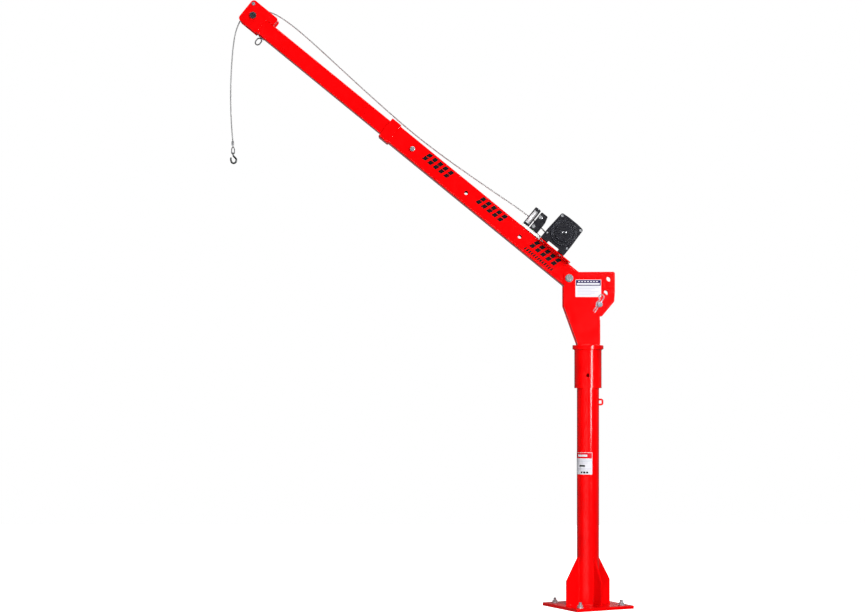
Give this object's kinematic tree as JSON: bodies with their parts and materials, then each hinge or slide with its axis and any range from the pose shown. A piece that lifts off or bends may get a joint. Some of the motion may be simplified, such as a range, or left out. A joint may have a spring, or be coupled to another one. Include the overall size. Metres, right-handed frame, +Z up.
{
  "type": "swivel jib hoist crane",
  "caption": "Bolt-down post crane with a slewing head, pinned lifting boom, sliding extension, electric rope winch, roller fairlead, nose sheave and hook.",
  "frame": {"origin": "centre of the base plate's underside, on the post's axis", "axes": "+Z up the post, boom reaching out along -X, +Y across the boom away from the gear case"},
  "size_m": [1.51, 0.3344, 2.2688],
  "materials": {
    "red_paint": "glossy red powder coat",
    "black_paint": "satin black paint",
    "black_casting": "black painted die casting, semi-gloss",
    "zinc": "bright zinc plated",
    "dark_steel": "oiled dark steel",
    "roller_steel": "brushed bright steel",
    "rope_steel": "galvanised wire rope",
    "bronze": "plain bearing bronze",
    "white_nylon": "white nylon wear strip",
    "black_rubber": "moulded rubber boot",
    "label_print": "printed vinyl sheet"
  },
  "bodies": {
    "base": {"base_plate": "red_paint", "post_gussets": "red_paint", "post_tube": "red_paint", "post_cap": "red_paint", "hook_keeper": "red_paint", "post_label": "label_print"},
    "head": {"head_sleeve": "red_paint", "slew_bushes": "bronze", "head_flange": "red_paint", "thrust_washer": "bronze", "head_cheek_near": "red_paint", "head_cheek_far": "red_paint", "head_webs": "red_paint", "head_data_plate": "label_print", "pivot_bolt": "zinc", "pivot_nut_and_washers": "zinc", "lift_pin": "zinc", "lift_pin_clip": "zinc"},
    "boom": {"boom_outer_tube": "red_paint", "boom_pivot_tube": "dark_steel", "boom_collar": "red_paint", "boom_slide_pads": "white_nylon", "winch_mount_plate": "red_paint", "winch_foot_bolts": "zinc", "winch_spacers": "zinc", "winch_gear_housing": "black_casting", "winch_motor_bracket": "black_casting", "winch_gear_cover": "black_casting", "gear_cover_screws": "zinc", "winch_motor_can": "black_paint", "winch_motor_end_cap": "black_casting", "motor_terminals": "black_rubber", "drum_bushes": "bronze", "winch_tie_rods": "zinc", "fairlead_front_frame": "black_paint", "fairlead_rear_frame": "black_paint", "roller_axles": "zinc", "rope_run": "rope_steel"},
    "extension": {"boom_inner_tube": "red_paint", "nose_cheek_near": "red_paint", "nose_cheek_far": "red_paint", "nose_brace": "red_paint", "sheave_axle": "dark_steel", "rope_keeper_bolt": "zinc", "nose_eye": "zinc"},
    "sheave": {"nose_sheave": "dark_steel"},
    "drum": {"winch_drum": "dark_steel", "rope_on_drum": "rope_steel"},
    "motor_shaft": {"drive_shaft": "dark_steel", "motor_armature": "dark_steel"},
    "clutch": {"clutch_dial": "black_casting"},
    "roller_near": {"fairlead_roller_near": "roller_steel"},
    "roller_far": {"fairlead_roller_far": "roller_steel"},
    "roller_lower": {"fairlead_roller_lower": "roller_steel"},
    "roller_upper": {"fairlead_roller_upper": "roller_steel"},
    "stage_pin": {"extension_pin": "zinc"},
    "rope_end": {"rope_fall": "rope_steel", "rope_ferrule": "roller_steel", "rope_thimble": "roller_steel"},
    "hook": {"load_hook": "dark_steel"}
  },
  "joints": [
    {"name": "slew", "type": "hinge", "parent": "base", "child": "head", "pos_m": [0, 0, 0.9], "axis": [0, 0, 1], "continuous": true},
    {"name": "boom_lift", "type": "hinge", "parent": "head", "child": "boom", "pos_m": [-0.0735, 0, 1.231], "axis": [0, 1, 0], "range_deg": [-40, 0], "deforming": ["rope_fall"]},
    {"name": "boom_extend", "type": "slide", "parent": "boom", "child": "extension", "axis": [-0.7749, 0, 0.632], "range_m": [-0.516, 0], "deforming": ["rope_run"]},
    {"name": "sheave_spin", "type": "hinge", "parent": "extension", "child": "sheave", "pos_m": [-1.25278, 0, 2.21216], "axis": [0, 1, 0], "continuous": true},
    {"name": "drum_spin", "type": "hinge", "parent": "boom", "child": "drum", "pos_m": [-0.0967, 0, 1.39638], "axis": [0, 1, 0], "continuous": true},
    {"name": "motor_spin", "type": "hinge", "parent": "boom", "child": "motor_shaft", "pos_m": [-0.0967, 0, 1.39638], "axis": [0, 1, 0], "continuous": true},
    {"name": "clutch_turn", "type": "hinge", "parent": "boom", "child": "clutch", "pos_m": [-0.0967, 0, 1.39638], "axis": [0, 1, 0], "range_deg": [0, 90]},
    {"name": "roller_near_spin", "type": "hinge", "parent": "boom", "child": "roller_near", "pos_m": [-0.21159, -0.02, 1.45976], "axis": [0.632, 0, 0.7749], "continuous": true},
    {"name": "roller_far_spin", "type": "hinge", "parent": "boom", "child": "roller_far", "pos_m": [-0.21159, 0.02, 1.45976], "axis": [0.632, 0, 0.7749], "continuous": true},
    {"name": "roller_lower_spin", "type": "hinge", "parent": "boom", "child": "roller_lower", "pos_m": [-0.20698, 0, 1.42413], "axis": [0, 1, 0], "continuous": true},
    {"name": "roller_upper_spin", "type": "hinge", "parent": "boom", "child": "roller_upper", "pos_m": [-0.18037, 0, 1.45675], "axis": [0, 1, 0], "continuous": true},
    {"name": "stage_pin_pull", "type": "slide", "parent": "boom", "child": "stage_pin", "axis": [0, -1, 0], "range_m": [0, 0.03]},
    {"name": "rope_hang", "type": "hinge", "parent": "extension", "child": "rope_end", "pos_m": [-1.25278, 0, 2.21216], "axis": [0, 1, 0], "range_deg": [0, 40]},
    {"name": "hook_swing", "type": "hinge", "parent": "rope_end", "child": "hook", "pos_m": [-1.331, 0, 1.705], "axis": [0, 1, 0], "range_deg": [-40, 40]}
  ],
  "couplings": [
    {"joint": "sheave_spin", "follows": "drum_spin", "ratio": -1.28},
    {"joint": "rope_hang", "follows": "boom_lift", "ratio": -1}
  ]
}
